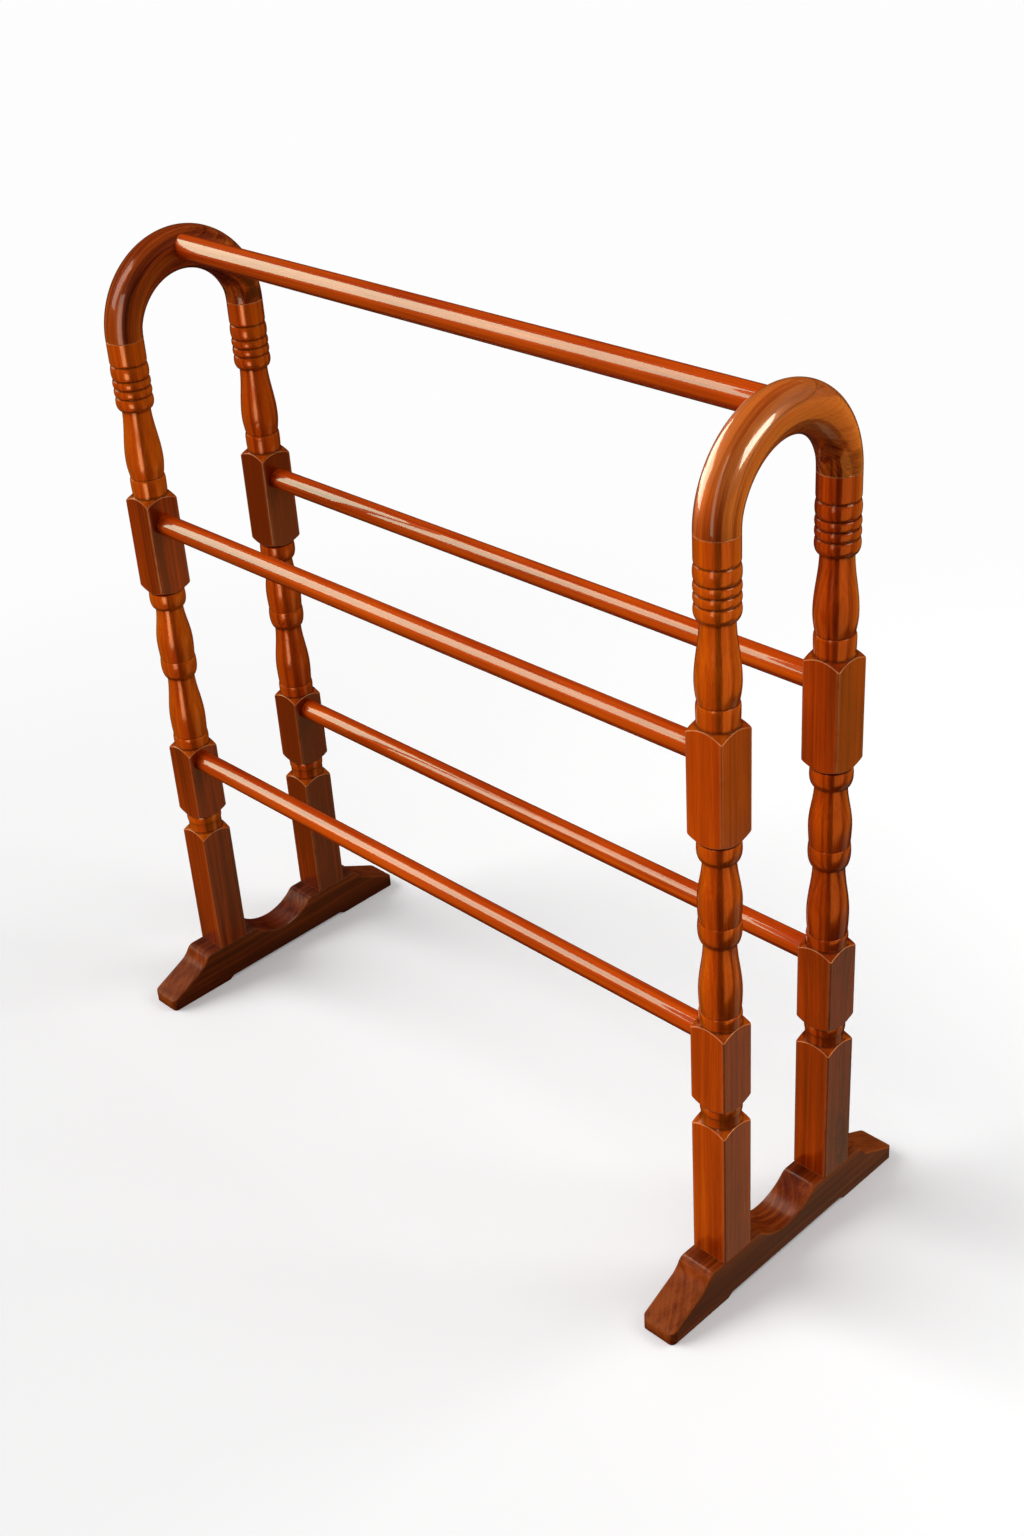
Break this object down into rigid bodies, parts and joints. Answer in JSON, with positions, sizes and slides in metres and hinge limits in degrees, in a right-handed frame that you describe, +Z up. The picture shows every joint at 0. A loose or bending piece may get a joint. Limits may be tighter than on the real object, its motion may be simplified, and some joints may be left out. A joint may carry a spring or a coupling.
{
  "type": "quilt rack",
  "caption": "Free-standing turned-wood rack for quilts and towels, with arched end frames on scooped feet joined by round rails.",
  "frame": {"origin": "on the floor, midway between the two end frames and midway between the front and back posts", "axes": "+X runs along the rails to the right end frame, -Y is the front, +Z is up"},
  "size_m": [0.786, 0.336, 0.858],
  "materials": {
    "post_wood": "gloss mahogany lacquer over turned hardwood",
    "rail_wood": "gloss mahogany lacquer over straight-grained dowel",
    "hoop_wood": "gloss lacquer over browner wood with strong figure",
    "foot_wood": "dark brown gloss lacquer",
    "dowel_wood": "raw beech, hidden inside the joint",
    "screw_steel": "zinc plated"
  },
  "bodies": {
    "root": {"foot_left": "foot_wood", "foot_right": "foot_wood", "post_left_front": "post_wood", "post_left_back": "post_wood", "post_right_front": "post_wood", "post_right_back": "post_wood", "hoop_left": "hoop_wood", "hoop_right": "hoop_wood", "top_rail": "rail_wood", "upper_rail_front": "rail_wood", "upper_rail_back": "rail_wood", "lower_rail_front": "rail_wood", "lower_rail_back": "rail_wood", "hoop_dowel_left_front": "dowel_wood", "hoop_dowel_left_back": "dowel_wood", "hoop_dowel_right_front": "dowel_wood", "hoop_dowel_right_back": "dowel_wood", "foot_screw_left_front": "screw_steel", "foot_screw_left_back": "screw_steel", "foot_screw_right_front": "screw_steel", "foot_screw_right_back": "screw_steel"}
  },
  "joints": []
}
